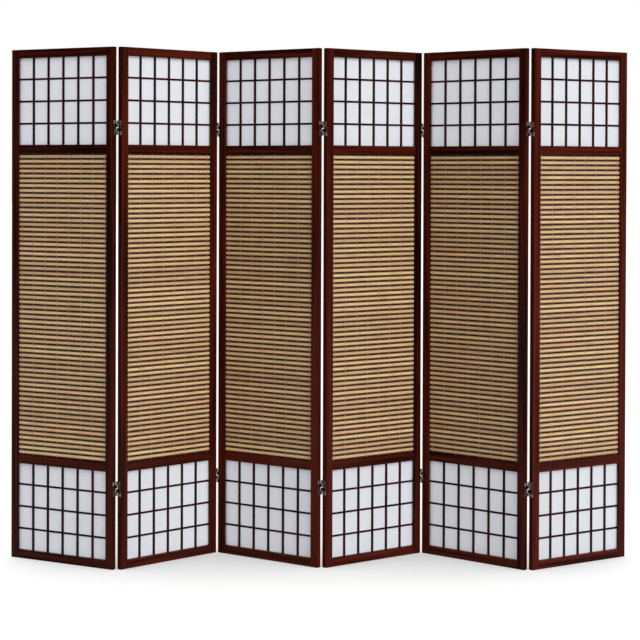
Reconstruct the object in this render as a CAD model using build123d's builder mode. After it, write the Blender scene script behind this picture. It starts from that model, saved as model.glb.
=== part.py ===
from build123d import *
import os
from math import cos, radians, sin

# A free-standing folding screen of six equal framed panels, set up as a zigzag. Each panel is a
# hardwood frame with a papered lattice at the top and at the bottom and a blind of bamboo slats
# between them. Two-way screen hinges join neighbouring panels, so each pair folds flat.
# Millimetres, +Z up, +X along the screen, front faces towards -Y, origin on the floor at the middle.

# Frame of one panel
panel_height = 1800.0
panel_width = 432.0
panel_depth = 19.0
stile_width = 30.0
top_rail_height = 30.0
cross_rail_height = 30.0
bottom_rail_height = 30.0

# Lattice: upright bars in front, cross bars glued behind them, paper glued behind the cross bars
lattice_height = 306.0
lattice_recess = 7.2
upright_bars = 5
upright_bar_width = 8.0
upright_bar_depth = 2.2
cross_bars = 3
cross_bar_height = 7.0
cross_bar_depth = 2.2
paper_thickness = 0.5

# Blind: flat bamboo slats with a narrow gap above and below each one
slat_height = 12.4
slat_gap = 4.75
slat_thickness = 2.0
slat_recess = 6.0

# Groove down the inner edge of each stile, for rail tongues, slats, cross bars and paper
groove_depth = 5.0
groove_clearance = 0.2
tongue_clearance = 0.1
end_clearance = 1.0

# Two-way hinges: four pins each, two just proud of the front faces and two of the back faces
hinge_height = 50.0
hinge_inset = 278.0
half_gap = 2.5
pin_radius = 1.5
pin_flat_radius = 1.4
pin_clearance = 0.08
pin_standoff = 0.5
knuckle_wall = 1.42
knuckle_sides = 6
knuckle_clearance = 0.3
edge_clearance = 0.25
leaf_thickness = 1.5
link_thickness = 1.5

# How the screen stands: each panel's angle to the screen's length, swinging to and fro
panel_headings = (29.0, 42.0, 35.5, 36.0, 40.5, 32.5)

# Levels of one panel, from the floor up
lower_cross_rail_base = bottom_rail_height + lattice_height
blind_base = lower_cross_rail_base + cross_rail_height
top_rail_base = panel_height - top_rail_height
upper_cross_rail_base = top_rail_base - lattice_height - cross_rail_height
lattice_middles = (bottom_rail_height + lattice_height / 2, top_rail_base - lattice_height / 2)
blind_height = upper_cross_rail_base - blind_base
blind_middle = blind_base + blind_height / 2

# Depths behind the front face
cross_bar_recess = lattice_recess + upright_bar_depth
paper_recess = cross_bar_recess + cross_bar_depth
groove_front = min(slat_recess, cross_bar_recess) - groove_clearance
groove_back = max(slat_recess + slat_thickness, paper_recess + paper_thickness) + groove_clearance
groove_width = groove_back - groove_front
groove_middle = (groove_front + groove_back) / 2

# Widths and spacings that follow
middle_x = panel_width / 2
middle_y = panel_depth / 2
opening_width = panel_width - 2 * stile_width
tongue_reach = opening_width + 2 * (groove_depth - tongue_clearance)
seated_width = opening_width + 2 * (groove_depth - end_clearance)
upright_pitch = (opening_width + upright_bar_width) / (upright_bars + 1)
cross_pitch = (lattice_height + cross_bar_height) / (cross_bars + 1)
slat_count = round((blind_height - slat_gap) / (slat_height + slat_gap))
slat_pitch = (blind_height + slat_height) / (slat_count + 1)

# Places of the hinge parts in a panel's own plan and height
sides = ("left", "right")
halves = ("upper", "lower")
hinge_levels = (hinge_inset, panel_height - hinge_inset)
half_height = (hinge_height - half_gap) / 2
knuckle_height = (half_height - knuckle_clearance) / 2
bore_radius = pin_radius + pin_clearance
knuckle_radius = bore_radius + knuckle_wall
pin_offset = knuckle_radius + edge_clearance
leaf_margin = knuckle_radius - pin_standoff + knuckle_clearance
front_pin_y = -pin_standoff
rear_pin_y = panel_depth + pin_standoff
pin_x = {"left": -pin_offset, "right": panel_width + pin_offset}
leaf_x = {"left": -leaf_thickness / 2, "right": panel_width + leaf_thickness / 2}


def panel_frame(pin, heading, x, y):
    """A panel's floor plane, +X along the panel, set so that its own point (x, y) is the pin."""
    along = (cos(radians(heading)), sin(radians(heading)), 0)
    at_pin = Plane(origin=pin, x_dir=along, z_dir=(0, 0, 1))
    return Plane(origin=at_pin.from_local_coords((-x, -y, 0)), x_dir=along, z_dir=(0, 0, 1))


def zigzag(start):
    """The floor planes of all panels, each hung on the last one's fold pins, from the left end."""
    frames = [panel_frame(start, -panel_headings[0], 0, 0)]
    for joint, angle in enumerate(panel_headings[1:], 1):
        ridge = joint % 2 == 1
        fold_y = rear_pin_y if ridge else front_pin_y
        pin = frames[-1].from_local_coords((pin_x["right"], fold_y, 0))
        frames.append(panel_frame(pin, angle if ridge else -angle, pin_x["left"], fold_y))
    return frames


def hinged_sides(number):
    """The edges of a panel that carry hinges: the screen's two ends are free."""
    free = {1: "left", len(panel_headings): "right"}
    return [side for side in sides if free.get(number) != side]


def plan_middle(frames):
    """The middle of the screen's plan, over the panels' corners."""
    corners = [
        frame.from_local_coords((x, y, 0))
        for frame in frames
        for x in (0, panel_width)
        for y in (0, panel_depth)
    ]
    x_ends = [corner.X for corner in corners]
    y_ends = [corner.Y for corner in corners]
    return (min(x_ends) + max(x_ends)) / 2, (min(y_ends) + max(y_ends)) / 2


def elevation(frame, recess):
    """A panel's upright plane so far behind its front face, +Y up, facing the front."""
    origin = frame.from_local_coords((0, recess, 0))
    return Plane(origin=origin, x_dir=frame.x_dir, z_dir=-frame.y_dir)


def held_pin_y(side, half):
    """Where a leaf holds its pin: in front in one half of the hinge, behind in the other."""
    in_front = (side == "right") == (half == "upper")
    return front_pin_y if in_front else rear_pin_y


def own_half(number):
    """The half of each hinge whose link stays closed against this panel: it alternates."""
    return "upper" if number % 2 == 1 else "lower"


def half_foot(level, half, start, height):
    """The foot of a hinge piece of this height that starts so far from the hinge's middle."""
    return level + start if half == "upper" else level - start - height


def knuckle_section():
    """One knuckle and its bore, added to the sketch in hand."""
    RegularPolygon(knuckle_radius, knuckle_sides)
    RegularPolygon(bore_radius, knuckle_sides, major_radius=False, mode=Mode.SUBTRACT)


start_x, start_y = plan_middle(zigzag((0, 0, 0)))
panel_frames = zigzag((-start_x, -start_y, 0))
os.makedirs("parts", exist_ok=True)

for number, frame in enumerate(panel_frames, 1):
    # Stiles: two full-height uprights, each with the groove down its inner edge
    with BuildPart() as stiles:
        with BuildSketch(frame):
            with Locations((middle_x, middle_y)):
                with GridLocations(panel_width - stile_width, 1, 2, 1):
                    Rectangle(stile_width, panel_depth)
            with Locations((middle_x, groove_middle)):
                Rectangle(opening_width + 2 * groove_depth, groove_width, mode=Mode.SUBTRACT)
        extrude(amount=panel_height)

    # Rails: bottom, two cross rails and top, each with a tongue in the groove at both ends
    with BuildPart() as rails:
        for foot, height in (
            (0, bottom_rail_height),
            (lower_cross_rail_base, cross_rail_height),
            (upper_cross_rail_base, cross_rail_height),
            (top_rail_base, top_rail_height),
        ):
            with BuildSketch(frame.offset(foot)):
                with Locations((middle_x, middle_y)):
                    Rectangle(opening_width, panel_depth)
                with Locations((middle_x, groove_middle)):
                    Rectangle(tongue_reach, groove_width - 2 * tongue_clearance)
            extrude(amount=height)

    # Upright lattice bars, standing between the rails
    with BuildPart() as upright_lattice_bars:
        with BuildSketch(elevation(frame, lattice_recess)):
            for middle in lattice_middles:
                with Locations((middle_x, middle)):
                    with GridLocations(upright_pitch, 1, upright_bars, 1):
                        Rectangle(upright_bar_width, lattice_height)
        extrude(amount=-upright_bar_depth)

    # Cross lattice bars, behind the upright ones, with their ends in the grooves
    with BuildPart() as cross_lattice_bars:
        with BuildSketch(elevation(frame, cross_bar_recess)):
            for middle in lattice_middles:
                with Locations((middle_x, middle)):
                    with GridLocations(1, cross_pitch, 1, cross_bars):
                        Rectangle(seated_width, cross_bar_height)
        extrude(amount=-cross_bar_depth)

    # Paper: one sheet behind each lattice, its side edges in the grooves
    with BuildPart() as paper_sheets:
        with BuildSketch(elevation(frame, paper_recess)):
            for middle in lattice_middles:
                with Locations((middle_x, middle)):
                    Rectangle(seated_width, lattice_height)
        extrude(amount=-paper_thickness)

    # Slats of the blind, their ends in the grooves
    with BuildPart() as bamboo_slats:
        with BuildSketch(elevation(frame, slat_recess)):
            with Locations((middle_x, blind_middle)):
                with GridLocations(1, slat_pitch, 1, slat_count):
                    Rectangle(seated_width, slat_height)
        extrude(amount=-slat_thickness)

    # Hinge leaves: a plate on the panel's edge, with a knuckle at the hinge's upper tip and one at
    # its lower tip. One is in front and the other behind, and a strap joins each to the plate.
    with BuildPart() as hinge_leaves:
        for level in hinge_levels:
            for side in hinged_sides(number):
                with BuildSketch(frame.offset(level - hinge_height / 2)):
                    with Locations((leaf_x[side], middle_y)):
                        Rectangle(leaf_thickness, panel_depth - 2 * leaf_margin)
                extrude(amount=hinge_height)
                for half in halves:
                    pin_y = held_pin_y(side, half)
                    start = half_gap / 2 + knuckle_height + knuckle_clearance
                    foot = half_foot(level, half, start, knuckle_height)
                    with BuildSketch(frame.offset(foot)):
                        with Locations((leaf_x[side], (middle_y + pin_y) / 2)):
                            Rectangle(leaf_thickness, abs(middle_y - pin_y))
                        with Locations((pin_x[side], pin_y)):
                            knuckle_section()
                    extrude(amount=knuckle_height)

    # Hinge links: a web across the gap with a knuckle on the front pin and one on the rear pin
    with BuildPart() as hinge_links:
        for level in hinge_levels:
            foot = half_foot(level, own_half(number), half_gap / 2, knuckle_height)
            for side in hinged_sides(number):
                with BuildSketch(frame.offset(foot)):
                    with Locations((pin_x[side], middle_y)):
                        Rectangle(link_thickness, rear_pin_y - front_pin_y)
                    with Locations((pin_x[side], front_pin_y), (pin_x[side], rear_pin_y)):
                        knuckle_section()
                extrude(amount=knuckle_height)

    # Hinge pins: six-sided rod, held in the leaf's knuckle and reaching through a link's. Where the
    # neighbouring panel's link swings on the pin, its corners are turned round.
    with BuildPart() as hinge_pins:
        for level in hinge_levels:
            for side in hinged_sides(number):
                for half in halves:
                    foot = half_foot(level, half, half_gap / 2, half_height)
                    with BuildSketch(frame.offset(foot)):
                        with Locations((pin_x[side], held_pin_y(side, half))):
                            if half == own_half(number):
                                RegularPolygon(pin_radius, knuckle_sides)
                            else:
                                Circle(pin_radius)
                                RegularPolygon(
                                    pin_flat_radius,
                                    knuckle_sides,
                                    major_radius=False,
                                    mode=Mode.INTERSECT,
                                )
                    extrude(amount=half_height)

    # One file for each kind of piece
    pieces = {
        "stiles": stiles,
        "rails": rails,
        "upright_lattice_bars": upright_lattice_bars,
        "cross_lattice_bars": cross_lattice_bars,
        "paper_sheets": paper_sheets,
        "bamboo_slats": bamboo_slats,
        "hinge_leaves": hinge_leaves,
        "hinge_links": hinge_links,
        "hinge_pins": hinge_pins,
    }
    for kind, piece in pieces.items():
        piece.part.label = f"panel_{number}_{kind}"
        export_step(piece.part, f"parts/{piece.part.label}.step")
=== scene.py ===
"""Dresses the bamboo folding screen: lacquered frames, papered lattices, bamboo blinds, hinges."""

from collections import namedtuple
from math import cos, pi, radians, sin

import bpy
import numpy as np
from mathutils import Matrix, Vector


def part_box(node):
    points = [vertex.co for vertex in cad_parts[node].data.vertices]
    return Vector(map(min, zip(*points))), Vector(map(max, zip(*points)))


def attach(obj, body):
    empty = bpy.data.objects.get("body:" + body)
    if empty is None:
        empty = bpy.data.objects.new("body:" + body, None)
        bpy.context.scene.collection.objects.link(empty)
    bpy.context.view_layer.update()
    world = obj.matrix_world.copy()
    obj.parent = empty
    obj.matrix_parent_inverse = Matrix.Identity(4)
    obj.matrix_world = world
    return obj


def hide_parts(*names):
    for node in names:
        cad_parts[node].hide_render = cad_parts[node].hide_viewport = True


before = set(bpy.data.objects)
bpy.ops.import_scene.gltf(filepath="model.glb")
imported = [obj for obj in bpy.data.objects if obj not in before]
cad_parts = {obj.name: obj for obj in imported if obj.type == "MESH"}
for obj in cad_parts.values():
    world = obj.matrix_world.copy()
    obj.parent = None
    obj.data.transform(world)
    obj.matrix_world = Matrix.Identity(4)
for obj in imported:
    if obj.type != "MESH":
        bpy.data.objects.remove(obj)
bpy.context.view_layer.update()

bl_info = {
    "name": "Bamboo Folding Screen",
    "version": (1, 0, 0),
    "blender": (4, 5, 0),
    "location": "3D View > Sidebar > Screen",
    "description": "Builds a six-panel folding screen with paper lattices and bamboo blinds",
    "category": "Add Mesh",
}

MM = 0.001
MAP_START = 0.2  # where a part's distance round starts, past its whole number in the map
MAP_MIDDLE = 0.5  # where the middle of a slat's height lies in the map
MAP_PANEL = 70.0  # how many whole numbers of the map each panel has for its parts
TURN_RADIUS = 0.002  # radius that turned pieces are mapped at
SEAT_SLACK = 1 * MM  # how far bars, slats and sticks end short of the grooves' bottom
SCREW_RISES = (-20 * MM, -7 * MM, 7 * MM, 20 * MM)  # screws above a hinge's middle


def linear(code):
    """A web colour such as "a06030" as the linear red, green and blue that shaders use."""
    srgb = np.array([int(code[i : i + 2], 16) for i in (0, 2, 4)]) / 255
    return tuple(np.where(srgb <= 0.04045, srgb / 12.92, ((srgb + 0.055) / 1.055) ** 2.4).tolist())


# ---------------------------------------------------------------- sizes and colours


def length(name, description, default):
    """A length property, given in millimetres and kept in metres."""
    return bpy.props.FloatProperty(
        name=name, description=description, default=default * MM, min=0.0,
        precision=4, subtype="DISTANCE", unit="LENGTH",
    )


def count(name, description, default):
    """A whole-number property."""
    return bpy.props.IntProperty(name=name, description=description, default=default, min=1)


def colour(name, description, code):
    """A colour property, given as a web colour."""
    return bpy.props.FloatVectorProperty(
        name=name, description=description, default=linear(code), size=3, min=0.0, max=1.0,
        subtype="COLOR",
    )


class ScreenSizes(bpy.types.PropertyGroup):
    """Sizes of the screen's pieces."""

    panel_height: length("Panel height", "Height of one panel", 1800)
    panel_width: length("Panel width", "Width of one panel", 432)
    panel_depth: length("Panel depth", "Thickness of the frame's boards", 19)
    board_width: length("Board width", "Width of the stiles and height of the rails", 30)
    board_ease: length("Board ease", "How far the boards' edges are rounded off", 0.9)
    lattice_height: length("Lattice height", "Height of each papered opening", 306)
    lattice_recess: length("Lattice recess", "Depth of the bars behind the front face", 7.2)
    upright_bars: count("Upright bars", "Upright bars in one lattice", 5)
    upright_bar_width: length("Upright bar width", "Width of an upright bar", 8)
    cross_bars: count("Cross bars", "Cross bars in one lattice", 3)
    cross_bar_height: length("Cross bar height", "Height of a cross bar", 7)
    bar_depth: length("Bar depth", "Thickness of a cross bar, half that of an upright", 2.2)
    bar_ease: length("Bar ease", "How far the bars' edges are rounded off", 0.4)
    slats: count("Slats", "Bamboo slats in one blind", 62)
    slat_height: length("Slat height", "Height of one slat", 12.4)
    slat_thickness: length("Slat thickness", "Thickness of one slat", 2)
    slat_recess: length("Slat recess", "Depth of the slats behind the front face", 6)
    stick_height: length("Stick height", "Height of the dark stick behind each gap", 6.6)
    stick_thickness: length("Stick thickness", "Thickness of a dark stick", 1.6)
    stick_recess: length("Stick recess", "Depth of the sticks behind the front face", 8.6)
    thread_columns: count("Thread columns", "Columns of binding threads in one blind", 8)
    thread_inset: length("Thread inset", "From the blind's edge to the first threads", 11)
    thread_width: length("Thread width", "Width of a binding thread", 1.3)
    groove_depth: length("Groove depth", "Depth of the groove in the stiles", 5)
    groove_front: length("Groove front", "Where the groove starts behind the front face", 5.8)
    groove_back: length("Groove back", "Where the groove ends behind the front face", 12.3)
    hinge_height: length("Hinge height", "Height of one hinge", 50)
    hinge_inset: length("Hinge inset", "From the panel's end to the middle of a hinge", 278)
    half_gap: length("Half gap", "Gap between a hinge's upper and lower half", 2.5)
    barrel_radius: length("Barrel radius", "Outer radius of a hinge barrel", 2.58)
    barrel_gap: length("Barrel gap", "Gap between two barrels on one pin", 0.3)
    plate_thickness: length("Plate thickness", "Thickness of leaves and links", 1.5)
    plate_margin: length("Plate margin", "From the panel's faces to the leaf's plate", 2.8)
    pin_radius: length("Pin radius", "Radius of a hinge pin", 1.4)
    pin_offset: length("Pin offset", "From the panel's edge to the pins", 3.25)
    pin_standoff: length("Pin standoff", "How far a pin stands off the panel's faces", 0.5)
    headings: bpy.props.FloatVectorProperty(
        name="Headings", description="Each panel's angle to the screen's length", size=6,
        default=[radians(a) for a in (29.0, 42.0, 35.5, 36.0, 40.5, 32.5)], unit="ROTATION",
    )


class ScreenColours(bpy.types.PropertyGroup):
    """Colours of the screen's finishes."""

    lacquer_dark: colour("Dark lacquer", "Lacquer where it lies thick in the grain", "140402")
    # this red is partly the wood's colour and partly painted sheen in the lacquer's streaks
    lacquer_red_and_sheen: colour("Red lacquer", "Lacquer where the wood's red shows through", "541a0d")
    bar_lacquer: colour("Bar lacquer", "Lacquer on the lattice bars", "1c0907")
    bamboo_tan: colour("Tan bamboo", "The commonest tone of the slats", "eec593")
    bamboo_peach: colour("Peach bamboo", "The redder slats", "e8b889")
    bamboo_straw: colour("Straw bamboo", "The yellower slats", "ebcd91")
    bamboo_line: colour("Bamboo fibre", "Dark fibres and joints in the slats", "744423")
    stick: colour("Dark stick", "Sticks between the slats", "2e150a")
    thread: colour("Thread", "Binding threads", "b59a7c")
    paper: colour("Paper", "Paper behind the lattices", "f2f4fa")
    paper_fibre: colour("Paper fibre", "Fibres in the paper", "f9fafc")
    bronze: colour("Bronze", "Hinge leaves", "94827a")
    # painted shade: the links take a darker copy of the leaves' bronze, for the shade they sit in
    shaded_link_bronze: colour("Dark bronze", "Hinge links", "3c312c")
    steel: colour("Steel", "Hinge pins and screws", "a79f9a")
    floor: colour("Floor", "The studio floor", "b9b9b9")


# ---------------------------------------------------------------- where the panels stand

Panel = namedtuple("Panel", "number corner along back")


def panel_plans(s):
    """The floor plan of every panel: its front left corner and its directions along and back.

    Headings swing to and fro. Each next panel is hung on the pin at its neighbour's edge, in turn
    a rear and a front pin, and the whole is moved so that the corners' middle is the origin.
    """
    plans, pin = [], np.zeros(2)
    pin_depth = 0.0
    for index, heading in enumerate(s.headings):
        near = index % 2 == 0
        angle = -heading if near else heading
        along = np.array((cos(angle), sin(angle)))
        back = np.array((-along[1], along[0]))
        corner = pin + (along * s.pin_offset if plans else 0) - back * pin_depth
        pin_depth = s.panel_depth + s.pin_standoff if near else -s.pin_standoff
        pin = corner + along * (s.panel_width + s.pin_offset) + back * pin_depth
        plans.append((corner, along, back))
    corners = np.array([
        corner + along * x + back * y
        for corner, along, back in plans
        for x in (0, s.panel_width)
        for y in (0, s.panel_depth)
    ])
    middle = (corners.min(0) + corners.max(0)) / 2
    return [Panel(n, c - middle, a, b) for n, (c, a, b) in enumerate(plans, 1)]


def stand(panel, points):
    """Points given as (along, behind the front face, up) in one panel, placed in the room:
    corner + along x first + back x second, with the height unchanged."""
    plan = panel.corner + points[..., :1] * panel.along + points[..., 1:2] * panel.back
    return np.concatenate((plan, points[..., 2:]), -1)


def levels(s):
    """Heights of the openings: (lower lattice, blind, upper lattice) as (foot, top) pairs."""
    low = s.board_width
    low_top = low + s.lattice_height
    blind = low_top + s.board_width
    blind_top = s.panel_height - blind
    return (low, low_top), (blind, blind_top), (s.panel_height - low_top, s.panel_height - low)


# ---------------------------------------------------------------- surfaces


def eased(corners, ease, steps=2):
    """A closed outline with rounded corners. From A, short of a corner C, to B, past it, it
    follows (1-t)^2 A + 2t(1-t) C + t^2 B, with t from 0 to 1 at every corner."""
    corners = np.asarray(corners, float)
    ease = np.broadcast_to(ease, len(corners))[:, None]
    before = np.roll(corners, 1, 0) - corners
    after = np.roll(corners, -1, 0) - corners
    a = corners + before / np.linalg.norm(before, axis=1, keepdims=True) * ease
    b = corners + after / np.linalg.norm(after, axis=1, keepdims=True) * ease
    t = np.linspace(0, 1, steps + 1)[None, :, None]
    curve = (1 - t) ** 2 * a[:, None] + 2 * t * (1 - t) * corners[:, None] + t**2 * b[:, None]
    return curve.reshape(-1, 2)


def rectangle(low, high):
    """Corners of an upright rectangle, anticlockwise."""
    return np.array([(low[0], low[1]), (high[0], low[1]), (high[0], high[1]), (low[0], high[1])])


def drawn_in(outline, amount):
    """The outline with every point moved inwards along the mean normal of its two sides."""
    side = np.roll(outline, -1, 0) - outline
    side /= np.linalg.norm(side, axis=1, keepdims=True)
    normal = np.stack((side[:, 1], -side[:, 0]), -1)
    normal = normal + np.roll(normal, 1, 0)
    return outline - normal / np.linalg.norm(normal, axis=1, keepdims=True) * amount


def girth(outlines):
    """Distance round each closed outline at every point and at the return to the first."""
    closed = np.concatenate((outlines, outlines[:, :1]), 1)
    step = np.linalg.norm(np.diff(closed, axis=1), axis=-1)
    return np.concatenate((np.zeros((len(outlines), 1)), np.cumsum(step, 1)), 1)


def carried(outlines, stops, axis, ease=0.0):
    """Outlines carried along a straight path: section k of part i is outline i at stop k.

    With an ease, a drawn-in section is added at each end, so that the end edges are rounded.
    Axis 2 carries (along, behind) outlines upwards; axis 0 carries (behind, up) ones sideways.
    """
    outlines = outlines if outlines.ndim == 3 else outlines[None]
    stops = np.broadcast_to(np.atleast_2d(stops), (len(outlines), np.shape(stops)[-1]))
    if ease:
        inset = ease * 0.7
        ends = np.stack([drawn_in(outline, inset) for outline in outlines])
        sections = np.stack((ends, outlines, outlines, ends), 1)
        first, last = stops[:, :1], stops[:, -1:]
        stops = np.concatenate((first, first + ease, last - ease, last), 1)
    else:
        sections = np.repeat(outlines[:, None], stops.shape[1], 1)
    path = np.broadcast_to(stops[..., None, None], sections.shape[:-1] + (1,))
    order = (sections, path) if axis == 2 else (path, sections)
    return np.concatenate(order, -1), stops, girth(outlines)


def revolved(outline, centre, steps=20):
    """A closed outline of (radius, height) turned about upright axes at the given centres:
    (r cos a, r sin a, h), with angle a in equal steps. It closes on itself both ways."""
    angle = np.linspace(0, 2 * pi, steps, endpoint=False)[:, None]
    r, h = outline[:, 0], outline[:, 1]
    ring = np.stack(np.broadcast_arrays(r * np.cos(angle), r * np.sin(angle), h), -1)
    rings = np.asarray(centre, float)[:, None, None, :] + ring[None, :, ::-1]
    along = np.broadcast_to(angle[:, 0] * TURN_RADIUS, (len(rings), steps))
    around = np.broadcast_to(girth(outline[None])[0], (len(rings), len(outline) + 1))
    return rings, along, around, True


def skin(rings, along, around, looped=False):
    """Faces over sections. Point j of section k joins point j+1 and section k+1 in a quad; the
    last section is joined to the first where looped, and both ends are closed where not.

    The map holds the distance along and, for part i, i + MAP_START + the distance round. A piece
    adds MAP_PANEL for each panel, so that no two panels' parts look alike.
    """
    parts, sections, points, _ = rings.shape
    index = np.arange(parts * sections * points).reshape(parts, sections, points)
    round_ = np.roll(index, -1, 2)
    ahead, ahead_round = np.roll(index, -1, 1), np.roll(round_, -1, 1)
    keep = slice(None) if looped else slice(None, -1)
    quads = np.stack((index, round_, ahead_round, ahead), -1)[:, keep].reshape(-1, 4)
    number = np.arange(parts)[:, None, None] + MAP_START
    uv = np.stack(np.broadcast_arrays(along[..., None], number + around[:, None]), -1)
    uv_ahead = np.roll(uv, -1, 1)
    corner = np.stack((uv[:, :, :-1], uv[:, :, 1:], uv_ahead[:, :, 1:], uv_ahead[:, :, :-1]), -2)
    corner = corner[:, keep].reshape(-1, 2)
    if looped:
        return rings.reshape(-1, 3), quads, corner, np.empty((0, points), int), np.empty((0, 2))
    caps = np.concatenate((index[:, 0, ::-1], index[:, -1]))
    cap_uv = np.concatenate((uv[:, 0, :-1][:, ::-1], uv[:, -1, :-1])).reshape(-1, 2)
    return rings.reshape(-1, 3), quads, corner, caps, cap_uv


def make_piece(name, panel, surfaces, material, replaces=(), smooth=0.0):
    """One piece of a panel from its surfaces, each (rings, along, around[, looped]) in the
    panel's own directions, riding on the panel's body."""
    verts, quads, quad_uv, caps, cap_uv, start = [], [], [], [], [], 0
    for surface in surfaces:
        v, q, q_uv, c, c_uv = skin(*surface)
        verts.append(stand(panel, v))
        quads += (q + start).tolist()
        caps += (c + start).tolist()
        quad_uv.append(q_uv)
        cap_uv.append(c_uv)
        start += len(v)
    uv = np.concatenate(quad_uv + cap_uv) + np.array([0.0, MAP_PANEL * panel.number])
    mesh = bpy.data.meshes.new(name)
    mesh.from_pydata(np.concatenate(verts).tolist(), [], quads + caps)
    layer = mesh.uv_layers.new(name="UVMap")
    layer.data.foreach_set("uv", uv.astype(np.float32).ravel())
    if smooth:
        mesh.shade_smooth()
        mesh.set_sharp_from_angle(angle=smooth)
    mesh.materials.append(material)
    mesh.update()
    piece = bpy.data.objects.new(name, mesh)
    bpy.context.scene.collection.objects.link(piece)
    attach(piece, f"panel_{panel.number}")
    if replaces:
        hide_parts(*[f"panel_{panel.number}_{kind}" for kind in replaces])
    return piece


# ---------------------------------------------------------------- finishes


class Number:
    """A number in a node tree, with the sums that the finishes use."""

    def __init__(self, recipe, socket):
        self.recipe, self.socket = recipe, socket

    def _sum(self, operation, *values):
        inputs = dict(enumerate(values))
        node = self.recipe.node("ShaderNodeMath", {"operation": operation}, inputs)
        return Number(self.recipe, node.outputs[0])

    def __add__(self, other):
        return self._sum("ADD", self, other)

    def __sub__(self, other):
        return self._sum("SUBTRACT", self, other)

    def __rsub__(self, other):
        return self._sum("SUBTRACT", other, self)

    def __mul__(self, other):
        return self._sum("MULTIPLY", self, other)

    def __truediv__(self, other):
        return self._sum("DIVIDE", self, other)

    def __rtruediv__(self, other):
        return self._sum("DIVIDE", other, self)

    __radd__, __rmul__ = __add__, __mul__

    def floor(self):
        return self._sum("FLOOR", self)

    def fraction(self):
        return self._sum("FRACT", self)

    def distance(self):
        return self._sum("ABSOLUTE", self)

    def greatest(self, other):
        return self._sum("MAXIMUM", self, other)

    def step(self, low, high):
        """0 below low, 1 above high and a smooth rise between; a fall where low is above high."""
        inputs = {"Value": self, "From Min": low, "From Max": high, "To Min": 0.0, "To Max": 1.0}
        node = self.recipe.node("ShaderNodeMapRange", {"interpolation_type": "SMOOTHSTEP"}, inputs)
        return Number(self.recipe, node.outputs[0])


class Recipe:
    """A node tree that a finish is written in."""

    def __init__(self, tree):
        self.tree = tree
        tree.nodes.clear()

    def node(self, kind, settings=(), inputs=()):
        """A node of this kind with its settings set first, then its sockets' values and links."""
        node = self.tree.nodes.new(kind)
        for name, value in dict(settings).items():
            setattr(node, name, value)
        for name, value in dict(inputs).items():
            if isinstance(value, Number):
                value = value.socket
            if isinstance(value, bpy.types.NodeSocket):
                self.tree.links.new(value, node.inputs[name])
            else:
                node.inputs[name].default_value = value
        return node

    def parts(self, vector):
        """The three numbers of a vector."""
        node = self.node("ShaderNodeSeparateXYZ", (), {"Vector": vector})
        return [Number(self, output) for output in node.outputs]

    def vector(self, *numbers):
        """A vector of up to three numbers."""
        inputs = dict(zip("XYZ", numbers))
        return self.node("ShaderNodeCombineXYZ", (), inputs).outputs[0]

    def own_map(self):
        """The piece's own map: the distance along, and the part's number and distance round."""
        node = self.node("ShaderNodeUVMap", {"uv_map": "UVMap"})
        return self.parts(node.outputs[0])[:2]

    def place(self):
        """The place on the object, which is also the place in the room."""
        return self.node("ShaderNodeTexCoord").outputs["Object"]

    def noise(self, vector, scale=1.0, detail=2.0, roughness=0.5):
        """Smooth noise from 0 to 1 at a vector."""
        inputs = {"Vector": vector, "Scale": scale, "Detail": detail, "Roughness": roughness}
        return Number(self, self.node("ShaderNodeTexNoise", (), inputs).outputs[0])

    def chance(self, number, seed):
        """A number from 0 to 1 that is the same wherever the given number is."""
        vector = self.vector(number, seed)
        node = self.node("ShaderNodeTexWhiteNoise", {"noise_dimensions": "3D"}, {"Vector": vector})
        return Number(self, node.outputs[0])

    def mix(self, factor, first, second):
        """A colour between two colours."""
        linked = bpy.types.NodeSocket
        first, second = [c if isinstance(c, linked) else (*c, 1.0) for c in (first, second)]
        inputs = {0: factor, 6: first, 7: second}
        return self.node("ShaderNodeMix", {"data_type": "RGBA"}, inputs).outputs[2]

    def bump(self, height, distance):
        """A normal from a height from 0 to 1 that stands for this distance in metres."""
        inputs = {"Height": height, "Distance": distance, "Strength": 1.0}
        return self.node("ShaderNodeBump", (), inputs).outputs[0]

    def surface(self, inputs):
        """The finish itself."""
        return self.node("ShaderNodeBsdfPrincipled", (), inputs).outputs[0]

    def finish(self, shader):
        """Sends the shader to the material's output."""
        self.node("ShaderNodeOutputMaterial", (), {"Surface": shader})


def new_finish(name):
    """A new material and the recipe of its node tree."""
    material = bpy.data.materials.new(name)
    material.use_nodes = True
    return material, Recipe(material.node_tree)


def lacquer(name, dark, red, gloss):
    """Red-brown lacquer over wood: long streaks along the grain, in broad darker and redder
    patches that differ from board to board, with fine pores and a slightly uneven gloss. The red
    streaks and patches are partly the wood's grain and partly painted sheen, in place of the
    lacquer's reflections, which are kept low."""
    material, r = new_finish(name)
    along, around = r.own_map()
    board = around.floor()
    shade = r.chance(board, 3.0)
    streak = r.noise(r.vector(along * 2.5, around * 170.0, shade * 9.0), 1.0, 3.0, 0.6)
    patch = r.noise(r.vector(along * 1.6, around * 62.0, board * 1.7), 1.0, 2.0)
    pores = r.noise(r.vector(along * 60.0, around * 1500.0, board), 1.0, 1.0)
    # painted sheen: the red streaks and patches are partly the wood's grain and partly painted
    # sheen standing in for the lacquer's reflections
    grain_and_painted_sheen = (streak * 0.8 + patch * 1.3 + shade * 0.3 - 0.74).step(0.1, 0.85)
    base = r.mix(grain_and_painted_sheen, dark, red)
    base = r.mix(pores.step(0.62, 0.75) * 0.35, base, tuple(c * 0.4 for c in dark))
    r.finish(r.surface({
        "Base Color": base,
        "Roughness": patch * 0.12 + gloss,
        "Normal": r.bump(pores * 0.5 + streak * 0.5, 0.00006),
        "Specular IOR Level": 0.05,
    }))
    return material


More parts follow.
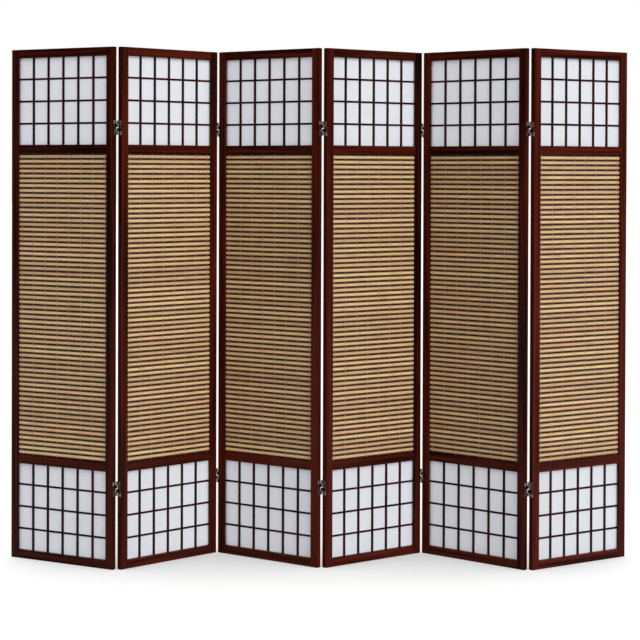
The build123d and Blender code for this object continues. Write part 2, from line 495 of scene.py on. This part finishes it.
def bamboo(colours):
    """Split bamboo: each slat takes its own tone, with fibres along it, painted shade darkening it
    towards its upper and lower edges, a joint or two across it and small stains."""
    material, r = new_finish("split_bamboo")
    along, across = r.own_map()
    tan, line = colours.bamboo_tan, colours.bamboo_line
    joint_spacing = 0.21
    slat = across.floor()
    tone, tone_2, place = r.chance(slat, 1.0), r.chance(slat, 2.0), r.chance(slat, 5.0)
    height = across - slat - MAP_MIDDLE
    fibre = r.noise(r.vector(along * 9.0, across * 900.0, slat), 1.0, 3.0, 0.65)
    cloud = r.noise(r.vector(along * 14.0, across * 120.0, slat), 1.0, 2.0)
    joint = (((along + place * 0.3) / joint_spacing).fraction() - 0.5).distance()
    ring = joint.step(0.012, 0.004)
    swell = joint.step(0.07, 0.015)
    stain = r.noise(r.vector(along * 45.0, across * 260.0, slat), 1.0, 2.0).step(0.66, 0.76)
    drift = r.noise(r.vector(along * 6.0, slat * 3.7, 0.0), 1.0, 1.0)
    peach, straw = tone + drift - 0.5, tone_2 - drift + 0.5
    base = r.mix(peach.step(0.4, 1.1) * 0.85, tan, colours.bamboo_peach)
    base = r.mix(straw.step(0.45, 1.1) * 0.85, base, colours.bamboo_straw)
    darker = (
        cloud.step(0.35, 0.8) * 0.3,
        fibre.step(0.5, 0.75) * 0.28,
        ring * 0.3 + stain * 0.3,
        r.chance(slat, 7.0) * 0.3,
    )
    for share in darker:
        base = r.mix(share, base, line)
    # painted shade: each slat darkens towards its upper and lower edges, mixing to the sticks'
    # colour, in place of the shade where its edges turn away
    edge = height.distance().step(0.0032, 0.0055)
    base = r.mix(edge * 0.92, base, colours.stick)
    r.finish(r.surface({
        "Base Color": base,
        "Roughness": fibre * 0.2 + 0.42,
        "Normal": r.bump(fibre * 0.6 + swell * 0.4, 0.00012),
        "Specular IOR Level": 0.35,
    }))
    return material


def stained_stick(colours):
    """Dark stained sticks with faint fibres along them."""
    material, r = new_finish("stained_stick")
    along, across = r.own_map()
    fibre = r.noise(r.vector(along * 12.0, across * 700.0, across.floor()), 1.0, 2.0)
    light = tuple(min(1.0, c * 2.2) for c in colours.stick)
    r.finish(r.surface({
        "Base Color": r.mix(fibre.step(0.35, 0.75), colours.stick, light),
        "Roughness": fibre * 0.2 + 0.45,
        "Normal": r.bump(fibre, 0.0001),
        "Specular IOR Level": 0.3,
    }))
    return material


def twisted_thread(colours):
    """Cotton thread: fine slanting twist, its strands painted with light and shade on their sides.
    """
    material, r = new_finish("twisted_thread")
    along, around = r.own_map()
    twist = ((along * 900.0 + around * 700.0).fraction() - 0.5).distance() * 2.0
    # painted shade: the twist's grooves take a darker copy of the thread's colour
    dark = tuple(c * 0.55 for c in colours.thread)
    r.finish(r.surface({
        "Base Color": r.mix(twist, dark, colours.thread),
        "Roughness": twist * 0.1 + 0.8,
        "Normal": r.bump(twist, 0.0002),
        "Sheen Weight": 0.2,
    }))
    return material


def lattice_paper(colours):
    """Thin white paper that lets some light through, with long soft fibres and faint clouds."""
    material, r = new_finish("lattice_paper")
    place = r.place()
    x, y, z = r.parts(place)
    cloud = r.noise(place, 9.0, 3.0)
    fibre = r.noise(r.vector(x * 160.0, y * 160.0, z * 45.0), 1.0, 4.0, 0.7)
    base = r.mix(fibre.step(0.52, 0.72) * 0.5, colours.paper, colours.paper_fibre)
    base = r.mix(cloud.step(0.4, 0.7) * 0.25, base, tuple(c * 0.93 for c in colours.paper))
    normal = r.bump(fibre, 0.00008)
    solid = r.surface({
        "Base Color": base, "Roughness": 0.85, "Normal": normal, "Specular IOR Level": 0.25,
    })
    clear = (*colours.paper_fibre, 1.0)
    let_through = 0.64
    through = r.node("ShaderNodeBsdfTranslucent", (), {"Color": clear, "Normal": normal})
    inputs = {0: let_through, 1: solid, 2: through.outputs[0]}
    r.finish(r.node("ShaderNodeMixShader", (), inputs).outputs[0])
    return material


def metal(name, tint, dark, gloss):
    """Worn metal: fine brushed lines, and cloudy patches of darker, rougher tarnish."""
    material, r = new_finish(name)
    place = r.place()
    x, y, z = r.parts(place)
    tarnish = r.noise(place, 160.0, 3.0).step(0.4, 0.7)
    brushed = r.noise(r.vector(x * 300.0, y * 300.0, z * 3000.0), 1.0, 2.0)
    r.finish(r.surface({
        "Base Color": r.mix(tarnish * dark, tint, tuple(c * 0.3 for c in tint)),
        "Metallic": 1.0,
        "Roughness": tarnish * 0.2 + brushed * 0.1 + gloss,
        "Normal": r.bump(brushed, 0.00003),
    }))
    return material


# ---------------------------------------------------------------- pieces of a panel


def stile_surface(s):
    """Both stiles: a board's section with a groove in its inner edge, carried up the panel."""
    w, d, g = s.board_width, s.panel_depth, s.groove_depth
    f, b = s.groove_front, s.groove_back
    corners = np.array([
        (0, 0), (w, 0), (w, f), (w - g, f), (w - g, b), (w, b), (w, d), (0, d),
    ])
    ease = np.array([1, 1, 0.3, 0.2, 0.2, 0.3, 1, 1]) * s.board_ease
    left = eased(corners, ease)
    right = np.array([s.panel_width, 0]) + left[::-1] * np.array([-1, 1])
    return carried(np.stack((left, right)), (0.0, s.panel_height), 2, s.board_ease)


def seats(s):
    """From where to where the cross bars, slats and sticks run, from groove to groove."""
    seat = s.board_width - s.groove_depth + SEAT_SLACK
    return seat, s.panel_width - seat


def rail_surface(s):
    """The four rails: a board's section, clipped to the tongue's thickness at both ends, where
    it runs into the stiles' grooves."""
    feet = np.array([0.0] + [top for _, top in levels(s)])
    section = eased(rectangle((0, 0), (s.panel_depth, s.board_width)), s.board_ease)
    body = section[None] + np.stack((0 * feet, feet), -1)[:, None]
    tongue = body.copy()
    slack = 0.1 * MM
    tongue[..., 0] = np.clip(body[..., 0], s.groove_front + slack, s.groove_back - slack)
    inner, outer = s.board_width, s.panel_width - s.board_width
    reach = s.groove_depth - slack
    stops = np.array([inner - reach, inner, inner, outer, outer, outer + reach])
    sections = np.stack((tongue, tongue, body, body, tongue, tongue), 1)
    path = np.broadcast_to(stops[None, :, None, None], sections.shape[:-1] + (1,))
    along = np.broadcast_to(stops, (len(feet), len(stops)))
    return np.concatenate((path, sections), -1), along, girth(body)


def upright_bar_surface(s):
    """The upright bars of both lattices, from the front of the lattice back to the paper and
    lapped over the cross bars: a small eased section carried up each opening."""
    inner = s.board_width
    opening = s.panel_width - 2 * inner
    pitch = (opening + s.upright_bar_width) / (s.upright_bars + 1)
    starts = inner - s.upright_bar_width + pitch * np.arange(1, s.upright_bars + 1)
    section = eased(rectangle((0, 0), (s.upright_bar_width, 2 * s.bar_depth)), s.bar_ease)
    section = section + np.array([0, s.lattice_recess])
    outlines = section[None] + np.stack((starts, 0 * starts), -1)[:, None]
    lower, _, upper = levels(s)
    return [carried(outlines, ends, 2) for ends in (lower, upper)]


def cross_bar_surface(s):
    """The cross bars of both lattices: a small eased section carried from groove to groove."""
    pitch = (s.lattice_height + s.cross_bar_height) / (s.cross_bars + 1)
    lower, _, upper = levels(s)
    steps = pitch * np.arange(1, s.cross_bars + 1) - s.cross_bar_height
    feet = np.concatenate((lower[0] + steps, upper[0] + steps))
    section = eased(rectangle((0, 0), (s.bar_depth, s.cross_bar_height)), s.bar_ease)
    section = section + np.array([s.lattice_recess + s.bar_depth, 0])
    outlines = section[None] + np.stack((0 * feet, feet), -1)[:, None]
    return carried(outlines, seats(s), 0)


def slat_pitch(s):
    """From one slat to the next."""
    _, (foot, top), _ = levels(s)
    return (top - foot + s.slat_height) / (s.slats + 1)


def slat_surface(s, seed):
    """The slats: a flat rounded section, |y/b|^3 + |z/a|^3 = 1, carried from groove to groove.
    Its half height a and its middle wander a little on the way, from a seeded draw."""
    draw = np.random.default_rng(seed)
    tilt_mm, wander_mm, height_mm = 0.16, 0.10, 0.14
    sides = 8
    stops = np.linspace(*seats(s), 7)
    angle = (np.arange(sides) + 0.5) * pi / 4
    unit = np.stack((np.cos(angle), np.sin(angle)), -1)
    unit = np.sign(unit) * np.abs(unit) ** (2 / 3)
    unit = unit / np.abs(unit).max(0)
    _, (foot, _), _ = levels(s)
    middle = foot - s.slat_height / 2 + slat_pitch(s) * np.arange(1, s.slats + 1)
    shape = (s.slats, len(stops))
    tilt = draw.normal(0, tilt_mm, (s.slats, 1)) * np.linspace(-1, 1, len(stops))
    wander = (tilt + draw.normal(0, wander_mm, shape)) * MM
    half = s.slat_height / 2 + draw.normal(0, height_mm, shape) * MM
    behind = s.slat_recess + s.slat_thickness / 2 * (1 + unit[:, 0])
    y = np.broadcast_to(behind, shape + (sides,))
    z = (middle[:, None] + wander)[..., None] + half[..., None] * unit[:, 1]
    x = np.broadcast_to(stops[None, :, None], shape + (sides,))
    across = MAP_MIDDLE - MAP_START + s.slat_height / 2 * np.append(unit[:, 1], unit[0, 1])
    around = np.broadcast_to(across, (s.slats, len(across)))
    return np.stack((x, y, z), -1), np.broadcast_to(stops, shape), around


def stick_surface(s, seed):
    """The dark sticks: a six-sided section carried from groove to groove close behind every gap,
    the ones at the blind's ends among them. The end ones are cut flat against the rails."""
    draw = np.random.default_rng(seed)
    wander_mm = 0.07
    sides = 6
    stops = np.linspace(*seats(s), 4)
    angle = (np.arange(sides) + 0.5) * pi / 3
    section = np.stack((np.cos(angle) * s.stick_thickness, np.sin(angle) * s.stick_height), -1) / 2
    section = section / np.array([cos(pi / 6), 1.0])
    _, (foot, top), _ = levels(s)
    gap = slat_pitch(s) - s.slat_height
    middle = foot + gap / 2 + slat_pitch(s) * np.arange(s.slats + 1)
    shape = (s.slats + 1, len(stops))
    wander = draw.normal(0, wander_mm, shape) * MM
    centre = s.stick_recess + s.stick_thickness / 2
    y = np.broadcast_to(centre + section[:, 0], shape + (sides,))
    z = (middle[:, None] + wander)[..., None] + section[:, 1]
    z = np.clip(z, foot, top)
    x = np.broadcast_to(stops[None, :, None], shape + (sides,))
    around = girth(np.stack((y, z), -1)[:, 0])
    return np.stack((x, y, z), -1), np.broadcast_to(stops, shape), around


def thread_surface(s):
    """The binding threads, three to a column. One runs straight up between slats and sticks. One
    passes over every slat and dips to the sticks' front in every gap, and one goes round the
    sticks' back: their depth steps between two values up the blind."""
    _, (foot, _), _ = levels(s)
    pitch = slat_pitch(s)
    gap = pitch - s.slat_height
    stick_bends, slat_bends = np.array([0.15, 0.85]), np.array([0.04, 0.96])
    first = foot + pitch * np.arange(s.slats + 1)
    stick = first[:, None] + gap * stick_bends
    slat = first[:-1, None] + gap + s.slat_height * slat_bends
    up = np.concatenate((np.concatenate((stick[:-1], slat), 1).ravel(), stick[-1]))
    on_stick = np.append(np.tile([True, True, False, False], s.slats), [True, True])
    thick, dip, lean = 0.3 * MM, 0.5 * MM, 0.1 * MM
    between = (s.slat_recess + s.slat_thickness + s.stick_recess) / 2
    over_slat = s.slat_recess - thick / 2
    round_stick = s.stick_recess + s.stick_thickness + thick / 2
    depths = np.stack((
        np.full(len(up), between),
        np.where(on_stick, between - dip, over_slat),
        np.where(on_stick, round_stick, between + lean),
    ))
    inner = s.board_width + s.thread_inset
    column = np.linspace(inner, s.panel_width - inner, s.thread_columns)
    section = np.array([(-1, -1), (1, -1), (1, 1), (-1, 1)]) / 2
    section = section * np.array([s.thread_width, thick])
    x = np.repeat(column, len(depths))[:, None, None] + section[:, 0] + 0.0 * up[None, :, None]
    depth = np.tile(depths, (s.thread_columns, 1))
    y = depth[..., None] + section[:, 1]
    z = np.broadcast_to(up[None, :, None], x.shape)
    along = np.broadcast_to(up, depth.shape)
    around = np.broadcast_to(np.arange(5) * s.thread_width / 2, (len(x), 5))
    return np.stack((x, y, z), -1), along, around


# ---------------------------------------------------------------- hinges


def hinged_edges(s, number):
    """The edges of a panel that carry hinges, as (middle of the leaf's plate, line of the pins,
    whether it is the right edge). The screen's two ends are free."""
    edges = []
    if number > 1:
        edges.append((-s.plate_thickness / 2, -s.pin_offset, False))
    if number < len(s.headings):
        edges.append((s.panel_width + s.plate_thickness / 2, s.panel_width + s.pin_offset, True))
    return edges


def hinge_levels(s):
    """Heights of the middles of a panel's hinges."""
    return s.hinge_inset, s.panel_height - s.hinge_inset


def half_span(level, upper, start, height):
    """(foot, top) of a hinge piece that starts so far from the hinge's middle, on one side."""
    foot = level + start if upper else level - start - height
    return foot, foot + height


def held_pin(s, right, upper):
    """Depth of the pin that a leaf holds: in front in one half of a hinge, behind in the other."""
    return -s.pin_standoff if right == upper else s.panel_depth + s.pin_standoff


def plate(s, x, depths, span):
    """A hinge plate: an eased rectangle in plan, carried up from its foot to its top."""
    t, ease = s.plate_thickness / 2, 0.3 * MM
    outline = eased(rectangle((x - t, min(depths)), (x + t, max(depths))), ease)
    return carried(outline, span, 2, ease)


def barrels(s, places, height):
    """Rolled barrels: an eased wall section turned about each pin."""
    play, ease = 0.03 * MM, 0.35 * MM
    bore = s.pin_radius + play
    wall = eased(rectangle((bore, 0), (s.barrel_radius, height)), ease)
    return revolved(wall, places)


def rod(places, radius, height, dome):
    """Rods with domed ends: a wall from a hair's breadth off the axis out to the radius, its
    corners rounded, turned about each axis."""
    axis, doubled = 0.02 * MM, 1e-7
    outline = eased(rectangle((axis, 0), (radius, height)), (0, dome, dome, 0), 3)
    keep = np.append(True, np.linalg.norm(np.diff(outline, axis=0), axis=1) > doubled)
    return revolved(outline[keep], places, 16)


def hinge_parts(s, number):
    """Surfaces of one panel's leaves, links, pins and screws."""
    half = (s.hinge_height - s.half_gap) / 2
    barrel = (half - s.barrel_gap) / 2
    pin_dome = 0.4 * MM
    leaves, links, leaf_barrels, link_barrels, pins, screws = [], [], [], [], [], []
    faces = (-s.pin_standoff, s.panel_depth + s.pin_standoff)
    for level in hinge_levels(s):
        for x, pin_x, right in hinged_edges(s, number):
            span = (level - s.hinge_height / 2, level + s.hinge_height / 2)
            margins = (s.plate_margin, s.panel_depth - s.plate_margin)
            leaves.append(plate(s, x, margins, span))
            for upper in (True, False):
                start = s.half_gap / 2 + barrel + s.barrel_gap
                foot, top = half_span(level, upper, start, barrel)
                depth = held_pin(s, right, upper)
                leaves.append(plate(s, x, (s.panel_depth / 2, depth), (foot, top)))
                leaf_barrels.append((pin_x, depth, foot))
                pins.append((pin_x, depth, half_span(level, upper, s.half_gap / 2, half)[0]))
            upper = number % 2 == 1
            foot, top = half_span(level, upper, s.half_gap / 2, barrel)
            links.append(plate(s, pin_x, faces, (foot, top)))
            link_barrels += [(pin_x, depth, foot) for depth in faces]
            screws += [
                (x, s.panel_depth / 2, level + z, 1.0 if right else -1.0)
                for z in SCREW_RISES
            ]
    leaves.append(barrels(s, leaf_barrels, barrel))
    links.append(barrels(s, link_barrels, barrel))
    rods = [rod(pins, s.pin_radius, half, pin_dome)]
    return leaves, links, rods, [screw_heads(s, screws)]


def screw_heads(s, screws):
    """Screw heads on the leaves: a flat dome, x = face + h(1 - (r/R)^4), with a slot pressed in
    along its middle, on rings of radius r that narrow to the centre."""
    screws = np.array(screws)
    radius = np.array([2.1, 2.1, 1.9, 1.4, 0.9, 0.45, 0.05]) * MM
    dome, sunk, slot_depth, slot_half = 0.4 * MM, 0.2 * MM, 0.25 * MM, 0.3 * MM
    angle = np.linspace(0, 2 * pi, 16, endpoint=False)
    proud = dome * (1 - (radius / radius.max()) ** 4)
    proud[0] = -sunk
    y = radius[:, None] * np.cos(angle)
    z = radius[:, None] * np.sin(angle)
    slot = slot_depth * (np.abs(y) < slot_half) * (np.arange(len(radius)) > 1)[:, None]
    rise = s.plate_thickness / 2 + proud[:, None] - slot
    way = screws[:, 3][:, None, None]
    x = screws[:, 0][:, None, None] + way * rise
    y = screws[:, 1][:, None, None] + way * y
    z = screws[:, 2][:, None, None] + 0 * x + z
    rings = np.stack(np.broadcast_arrays(x, y, z), -1)
    along = np.broadcast_to(radius, (len(screws), len(radius)))
    around = np.append(angle, 2 * pi) * TURN_RADIUS
    around = np.broadcast_to(around, (len(screws), len(around)))
    return rings, along, around


# ---------------------------------------------------------------- operators


class FramesOperator(bpy.types.Operator):
    """Build the lacquered stiles and rails of every panel"""

    bl_idname = "folding_screen.frames"
    bl_label = "Frames"

    def execute(self, context):
        s, c = context.scene.screen_sizes, context.scene.screen_colours
        wood = lacquer("frame_lacquer", c.lacquer_dark, c.lacquer_red_and_sheen, 0.2)
        for panel in panel_plans(s):
            name = f"panel_{panel.number}"
            piece = make_piece(f"{name}_lacquered_stiles", panel, [stile_surface(s)], wood,
                               ["stiles"])
            make_piece(f"{name}_lacquered_rails", panel, [rail_surface(s)], wood,
                       ["rails"])
            low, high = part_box(f"{name}_stiles")
            points = np.empty(len(piece.data.vertices) * 3, np.float32)
            piece.data.vertices.foreach_get("co", points)
            points = points.reshape(-1, 3)
            off = max(np.abs(points.min(0) - low).max(), np.abs(points.max(0) - high).max())
            if off > 1 * MM:
                raise RuntimeError(f"the stiles of {name} don't stand where the frame has them")
        return {"FINISHED"}


class LatticesOperator(bpy.types.Operator):
    """Build the upright and cross bars and give the paper behind them its finish"""

    bl_idname = "folding_screen.lattices"
    bl_label = "Lattices and paper"

    def execute(self, context):
        s, c = context.scene.screen_sizes, context.scene.screen_colours
        # the bars' red is partly the wood's colour and partly painted sheen, as on the frames
        red = tuple(0.6 * b + 0.4 * a for a, b in zip(c.lacquer_red_and_sheen, c.bar_lacquer))
        wood = lacquer("bar_lacquer", c.bar_lacquer, red, 0.26)
        paper = lattice_paper(c)
        for panel in panel_plans(s):
            name = f"panel_{panel.number}"
            make_piece(f"{name}_upright_bars", panel, upright_bar_surface(s), wood,
                       ["upright_lattice_bars"])
            make_piece(f"{name}_cross_bars", panel, [cross_bar_surface(s)], wood,
                       ["cross_lattice_bars"])
            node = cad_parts[f"{name}_paper_sheets"]
            for slot in node.material_slots:
                slot.material = paper
        return {"FINISHED"}


class BlindsOperator(bpy.types.Operator):
    """Build the bamboo slats, the dark sticks between them and the threads that bind them"""

    bl_idname = "folding_screen.blinds"
    bl_label = "Bamboo blinds"

    def execute(self, context):
        s, c = context.scene.screen_sizes, context.scene.screen_colours
        split, stained, twisted = bamboo(c), stained_stick(c), twisted_thread(c)
        stick_seed = 20
        for panel in panel_plans(s):
            name, seed = f"panel_{panel.number}", panel.number
            make_piece(f"{name}_split_slats", panel, [slat_surface(s, seed)], split,
                       ["bamboo_slats"], radians(50))
            make_piece(f"{name}_dark_sticks", panel, [stick_surface(s, seed + stick_seed)],
                       stained, (), radians(65))
            make_piece(f"{name}_binding_threads", panel, [thread_surface(s)],
                       twisted)
        return {"FINISHED"}


class HingesOperator(bpy.types.Operator):
    """Build the hinges' leaves, links, pins and screws"""

    bl_idname = "folding_screen.hinges"
    bl_label = "Hinges"

    def execute(self, context):
        s, c = context.scene.screen_sizes, context.scene.screen_colours
        bronze = metal("aged_bronze", c.bronze, 0.75, 0.18)
        # painted shade: the links' bronze is a darker copy of the leaves' bronze
        darkened = metal("shade_painted_bronze", c.shaded_link_bronze, 0.6, 0.3)
        steel = metal("pin_steel", c.steel, 0.4, 0.25)
        angle = radians(40)
        for panel in panel_plans(s):
            name = f"panel_{panel.number}"
            leaves, links, pins, screws = hinge_parts(s, panel.number)
            make_piece(f"{name}_rolled_leaves", panel, leaves, bronze,
                       ["hinge_leaves"], angle)
            make_piece(f"{name}_rolled_links", panel, links, darkened,
                       ["hinge_links"], angle)
            make_piece(f"{name}_round_pins", panel, pins, steel,
                       ["hinge_pins"], angle)
            make_piece(f"{name}_leaf_screws", panel, screws, steel, (), angle)
        return {"FINISHED"}


class StageOperator(bpy.types.Operator):
    """Set up the pale floor, the white surroundings, the soft lamp and the camera"""

    bl_idname = "folding_screen.stage"
    bl_label = "Stage"

    def execute(self, context):
        scene = context.scene
        self.floor(scene)
        self.surroundings(scene)
        self.lamp(scene, "key_lamp", towards=(0.46, -0.77, 0.48), strength=2.25, spread=45)
        self.camera(scene)
        scene.view_settings.view_transform = "Standard"
        return {"FINISHED"}

    def floor(self, scene):
        """A wide pale floor: its own colour takes the light and the shadow, and a glow that only
        the camera and reflections see lifts it to white, less of it close to the screen, which
        paints a soft contact shadow there."""
        material, r = new_finish("studio_floor")
        black, white = (0.0,) * 3, (1.0,) * 3
        tone = r.noise(r.place(), 3.0, 2.0) * 0.02 + 0.99
        base = r.mix(tone, black, scene.screen_colours.floor)
        matt = r.surface({"Base Color": base, "Roughness": 0.9, "Specular IOR Level": 0.1})
        path = r.node("ShaderNodeLightPath").outputs
        seen = Number(r, path["Is Camera Ray"]).greatest(Number(r, path["Is Glossy Ray"]))
        # painted contact shadow: ambient occlusion takes glow away near the screen's feet,
        # darkening the floor there
        open_ = r.node("ShaderNodeAmbientOcclusion", (), {"Distance": 0.6}).outputs["AO"]
        open_glow, least_glow = 0.36, 0.3
        lift = seen * Number(r, open_).step(0.2, 1.0) * open_glow + seen * least_glow
        glow = r.node("ShaderNodeEmission", (), {"Color": r.mix(lift, black, white)})
        r.finish(r.node("ShaderNodeAddShader", (), {0: matt, 1: glow.outputs[0]}).outputs[0])
        mesh = bpy.data.meshes.new("studio_floor")
        lines, reach, shift, drop = 9, 40, 30, 0.0002
        across = np.linspace(-reach, reach, lines)
        x, y = np.meshgrid(across, across + shift)
        points = np.stack((x, y, np.full_like(x, -drop)), -1).reshape(-1, 3)
        i = np.arange(lines**2).reshape(lines, lines)
        quads = np.stack((i[:-1, :-1], i[:-1, 1:], i[1:, 1:], i[1:, :-1]), -1).reshape(-1, 4)
        mesh.from_pydata(points.tolist(), [], quads.tolist())
        mesh.materials.append(material)
        floor = bpy.data.objects.new("studio_floor", mesh)
        scene.collection.objects.link(floor)

    def surroundings(self, scene):
        """White to the camera, as light pale behind the screen and grey in front of it, and in
        reflections white behind it and dim in front, a little brighter on the right."""
        world = bpy.data.worlds.new("studio")
        world.use_nodes = True
        scene.world = world
        r = Recipe(world.node_tree)
        path = r.node("ShaderNodeLightPath").outputs
        x, y, _ = r.parts(r.node("ShaderNodeTexCoord").outputs["Generated"])
        seen = Number(r, path["Is Camera Ray"]).greatest(Number(r, path["Is Transmission Ray"]))
        mirrored = Number(r, path["Is Glossy Ray"])
        mirror_behind, mirror_right, mirror_least = 0.7, 0.15, 0.02
        light_behind, light_least = 0.9, 0.31
        mirror_level = y.step(0.15, 0.6) * mirror_behind + x.step(0.2, 0.9) * mirror_right
        mirror_level = mirror_level + mirror_least
        light_level = y.step(-0.05, 0.3) * light_behind + light_least
        unseen = mirrored * mirror_level + (1.0 - mirrored) * light_level
        level = seen + (1.0 - seen) * unseen
        sky = r.node("ShaderNodeBackground", (), {"Color": (1, 1, 1, 1), "Strength": level})
        r.node("ShaderNodeOutputWorld", (), {"Surface": sky.outputs[0]})

    def lamp(self, scene, name, towards, strength, spread):
        """A broad soft lamp that stands towards the given direction and shines on the screen."""
        far = 6
        light = bpy.data.lights.new(name, "SUN")
        light.energy = strength
        light.angle = radians(spread)
        lamp = bpy.data.objects.new(name, light)
        z = np.array(towards) / np.linalg.norm(towards)
        x = np.cross((0, 0, 1), z)
        x /= np.linalg.norm(x)
        turn = np.eye(4)
        turn[:3, :3] = np.stack((x, np.cross(z, x), z), -1)
        turn[:3, 3] = z * far
        lamp.matrix_world = Matrix(turn.tolist())
        scene.collection.objects.link(lamp)

    def camera(self, scene):
        """The camera: nearly level, at the screen's upper part, and shifted down to frame it
        whole."""
        tilt, roll = 0.656, 0.172
        data = bpy.data.cameras.new("camera")
        data.sensor_width = 36.0
        data.lens = 101.05
        data.shift_x, data.shift_y = 0.0853, -0.2022
        data.clip_end = 200.0
        camera = bpy.data.objects.new("camera", data)
        place = Matrix.Translation((-0.1943, -6.3198, 1.3777))
        tilted = Matrix.Rotation(radians(90 - tilt), 4, "X")
        camera.matrix_world = place @ tilted @ Matrix.Rotation(radians(roll), 4, "Z")
        scene.collection.objects.link(camera)
        scene.camera = camera


class ScreenPanel(bpy.types.Panel):
    """The folding screen's pieces, sizes and colours"""

    bl_idname = "VIEW3D_PT_folding_screen"
    bl_label = "Bamboo Folding Screen"
    bl_space_type = "VIEW_3D"
    bl_region_type = "UI"
    bl_category = "Screen"

    def draw(self, context):
        column = self.layout.column(align=True)
        for operator in OPERATORS:
            column.operator(operator.bl_idname)
        for group in (context.scene.screen_sizes, context.scene.screen_colours):
            column = self.layout.column()
            for name in type(group).__annotations__:
                column.prop(group, name)


OPERATORS = (FramesOperator, LatticesOperator, BlindsOperator, HingesOperator, StageOperator)
CLASSES = (ScreenSizes, ScreenColours, *OPERATORS, ScreenPanel)


def register():
    for cls in CLASSES:
        bpy.utils.register_class(cls)
    bpy.types.Scene.screen_sizes = bpy.props.PointerProperty(type=ScreenSizes)
    bpy.types.Scene.screen_colours = bpy.props.PointerProperty(type=ScreenColours)


def unregister():
    del bpy.types.Scene.screen_colours
    del bpy.types.Scene.screen_sizes
    for cls in reversed(CLASSES):
        bpy.utils.unregister_class(cls)


def main():
    """Builds every piece and the stage."""
    register()
    bpy.ops.folding_screen.frames()
    bpy.ops.folding_screen.lattices()
    bpy.ops.folding_screen.blinds()
    bpy.ops.folding_screen.hinges()
    bpy.ops.folding_screen.stage()


if __name__ == "__main__":
    main()
